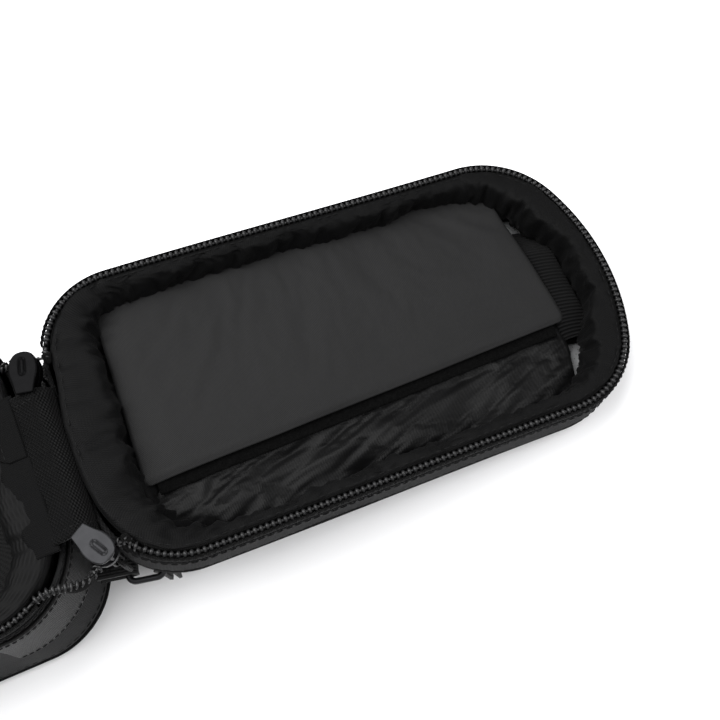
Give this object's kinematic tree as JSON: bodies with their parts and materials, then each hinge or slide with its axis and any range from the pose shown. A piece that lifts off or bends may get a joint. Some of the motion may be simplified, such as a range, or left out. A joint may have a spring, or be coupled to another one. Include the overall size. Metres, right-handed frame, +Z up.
{
  "type": "tank bag",
  "caption": "Small zip-round tank bag with a hinged lid, a windowed phone pocket under a flap, two zip sliders and strap rings, standing open.",
  "frame": {"origin": "middle of the underside of the anti-slip base pad", "axes": "+X from the body towards the hinge and the opened lid, +Z up out of the body, +Y across the bag"},
  "size_m": [0.4433, 0.11, 0.069],
  "materials": {
    "rubber_base": "matte moulded grip",
    "board": "plain sheet",
    "shell_fabric": "coarse woven nylon",
    "foam": "closed-cell foam",
    "lining_fabric": "thin matte lining",
    "flap_fabric": "satin coated nylon",
    "panel_fabric": "thin satin twill",
    "zip_tape": "woven tape",
    "zip_coil": "nylon coil",
    "webbing": "ribbed webbing",
    "hook_loop": "hook and loop",
    "dark_metal": "matte black lacquer",
    "satin_metal": "satin grey",
    "clear_film": "clear flexible film with fine dots",
    "tag_rubber": "plain moulded tag"
  },
  "bodies": {
    "bag_body": {"base_pad": "rubber_base", "base_stiffener": "board", "body_shell": "shell_fabric", "body_foam": "foam", "body_lining": "lining_fabric", "body_zip_coil": "zip_coil", "body_zip_tape": "zip_tape", "body_hinge_strip": "webbing", "body_hinge_hem": "webbing", "near_strap_tab": "webbing", "far_strap_tab": "webbing", "tail_strap_tab": "webbing"},
    "lid": {"lid_shell": "shell_fabric", "lid_window_binding": "webbing", "lid_window": "clear_film", "lid_foam": "foam", "lid_lining": "lining_fabric", "lid_zip_coil": "zip_coil", "lid_zip_tape": "zip_tape", "lid_hinge_strip": "webbing", "pocket_panel": "panel_fabric", "pocket_loop_strip": "hook_loop", "nose_elastic": "webbing"},
    "flap": {"pocket_flap": "flap_fabric", "flap_hook_strip": "hook_loop"},
    "near_zip_slider": {"near_slider": "satin_metal"},
    "far_zip_slider": {"far_slider": "dark_metal"},
    "near_zip_pull": {"near_puller": "dark_metal", "near_pull_cord": "webbing"},
    "far_zip_pull": {"far_puller": "dark_metal", "far_pull_cord": "webbing"},
    "near_ring": {"near_strap_ring": "satin_metal"},
    "far_ring": {"far_strap_ring": "satin_metal"},
    "tail_ring": {"tail_strap_ring": "satin_metal"},
    "near_strap_end": {"near_strap": "webbing", "near_strap_tag": "tag_rubber"},
    "far_strap_end": {"far_strap": "webbing", "far_strap_tag": "tag_rubber"}
  },
  "joints": [
    {"name": "lid_hinge", "type": "hinge", "parent": "bag_body", "child": "lid", "pos_m": [0.10935, 0, 0.066], "axis": [0, 1, 0], "range_deg": [-192, 0]},
    {"name": "flap_hinge", "type": "hinge", "parent": "lid", "child": "flap", "pos_m": [0.21472, 0.0398, 0.03266], "axis": [-0.9781, 0, 0.2079], "range_deg": [0, 80]},
    {"name": "near_slider_tilt", "type": "hinge", "parent": "bag_body", "child": "near_zip_slider", "pos_m": [0.10655, -0.0404, 0.06024], "axis": [0, 0.8944, 0.4472], "range_deg": [-105, 0]},
    {"name": "far_slider_tilt", "type": "hinge", "parent": "bag_body", "child": "far_zip_slider", "pos_m": [0.10633, 0.0246, 0.0634], "axis": [0.0863, 0.9867, -0.1378], "range_deg": [-92, 0]},
    {"name": "near_pull_swing", "type": "hinge", "parent": "near_zip_slider", "child": "near_zip_pull", "pos_m": [0.11445, -0.04256, 0.0611], "axis": [-0.866, -0.5, 0], "range_deg": [-10, 75]},
    {"name": "far_pull_swing", "type": "hinge", "parent": "far_zip_slider", "child": "far_zip_pull", "pos_m": [0.10956, 0.02704, 0.0611], "axis": [0.9744, -0.225, 0], "range_deg": [-10, 75]},
    {"name": "near_ring_swing", "type": "hinge", "parent": "bag_body", "child": "near_ring", "pos_m": [0.1145, -0.03237, 0.028], "axis": [0.2079, 0.9781, 0], "range_deg": [-25, 30]},
    {"name": "far_ring_swing", "type": "hinge", "parent": "bag_body", "child": "far_ring", "pos_m": [0.1145, 0.03237, 0.028], "axis": [-0.2079, 0.9781, 0], "range_deg": [-25, 30]},
    {"name": "tail_ring_swing", "type": "hinge", "parent": "bag_body", "child": "tail_ring", "pos_m": [-0.11275, 0, 0.028], "axis": [0, -1, 0], "range_deg": [-80, 80]},
    {"name": "near_strap_swing", "type": "hinge", "parent": "near_ring", "child": "near_strap_end", "pos_m": [0.12683, -0.03499, 0.028], "axis": [0.2079, 0.9781, 0], "range_deg": [-40, 40]},
    {"name": "far_strap_swing", "type": "hinge", "parent": "far_ring", "child": "far_strap_end", "pos_m": [0.12683, 0.03499, 0.028], "axis": [-0.2079, 0.9781, 0], "range_deg": [-40, 40]}
  ],
  "couplings": [
    {"joint": "near_slider_tilt", "follows": "lid_hinge", "ratio": 0.5442},
    {"joint": "far_slider_tilt", "follows": "lid_hinge", "ratio": 0.4745}
  ]
}
